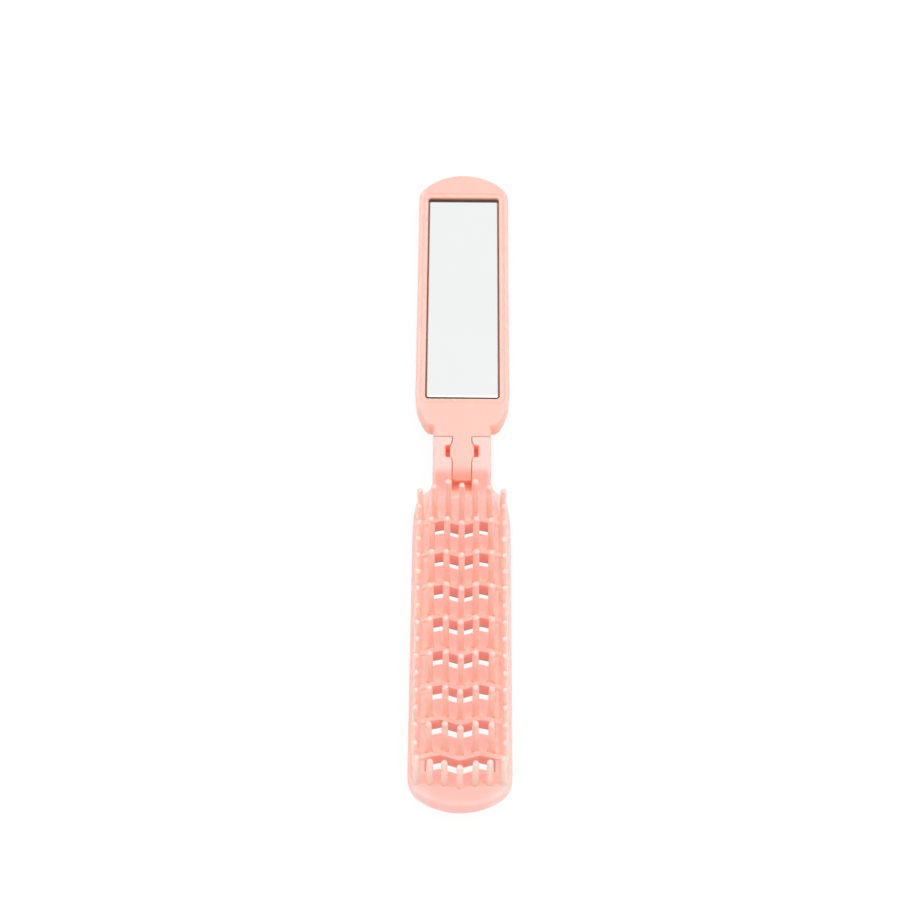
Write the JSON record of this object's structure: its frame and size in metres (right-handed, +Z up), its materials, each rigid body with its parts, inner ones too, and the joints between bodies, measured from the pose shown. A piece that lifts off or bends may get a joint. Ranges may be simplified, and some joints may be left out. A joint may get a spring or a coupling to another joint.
{
  "type": "folding hairbrush",
  "caption": "Pocket vent hairbrush whose mirror handle folds rearward on a hinge pin until the two backs meet.",
  "frame": {"origin": "bottom centre of the open brush: under the hinge barrel, midway between the two ends", "axes": "+Y towards the mirror handle's end, +X to the right, +Z up along the bristles and out of the mirror"},
  "size_m": [0.0284, 0.2186, 0.0274],
  "materials": {
    "head_plastic": "satin moulded pink plastic",
    "bristle_plastic": "satin clear-pink plastic with rounded tips",
    "handle_plastic": "satin moulded peach plastic",
    "mirror_glass": "silvered glass",
    "tape": "dull adhesive foam",
    "pin_steel": "drawn steel wire"
  },
  "bodies": {
    "head": {"brush_head": "head_plastic", "bristle_row_1": "bristle_plastic", "bristle_row_2": "bristle_plastic", "bristle_row_3": "bristle_plastic", "bristle_row_4": "bristle_plastic", "bristle_row_5": "bristle_plastic", "bristle_row_6": "bristle_plastic", "bristle_row_7": "bristle_plastic", "bristle_row_8": "bristle_plastic", "bristle_row_9": "bristle_plastic", "edge_bristles_left": "bristle_plastic", "edge_bristles_right": "bristle_plastic", "hinge_pin": "pin_steel"},
    "handle": {"mirror_handle": "handle_plastic", "mirror_glass": "mirror_glass", "mirror_tape": "tape"}
  },
  "joints": [
    {"name": "handle_fold", "type": "hinge", "parent": "head", "child": "handle", "pos_m": [0, 0.0035, 0.0026], "axis": [-1, 0, 0], "range_deg": [0, 180]}
  ]
}
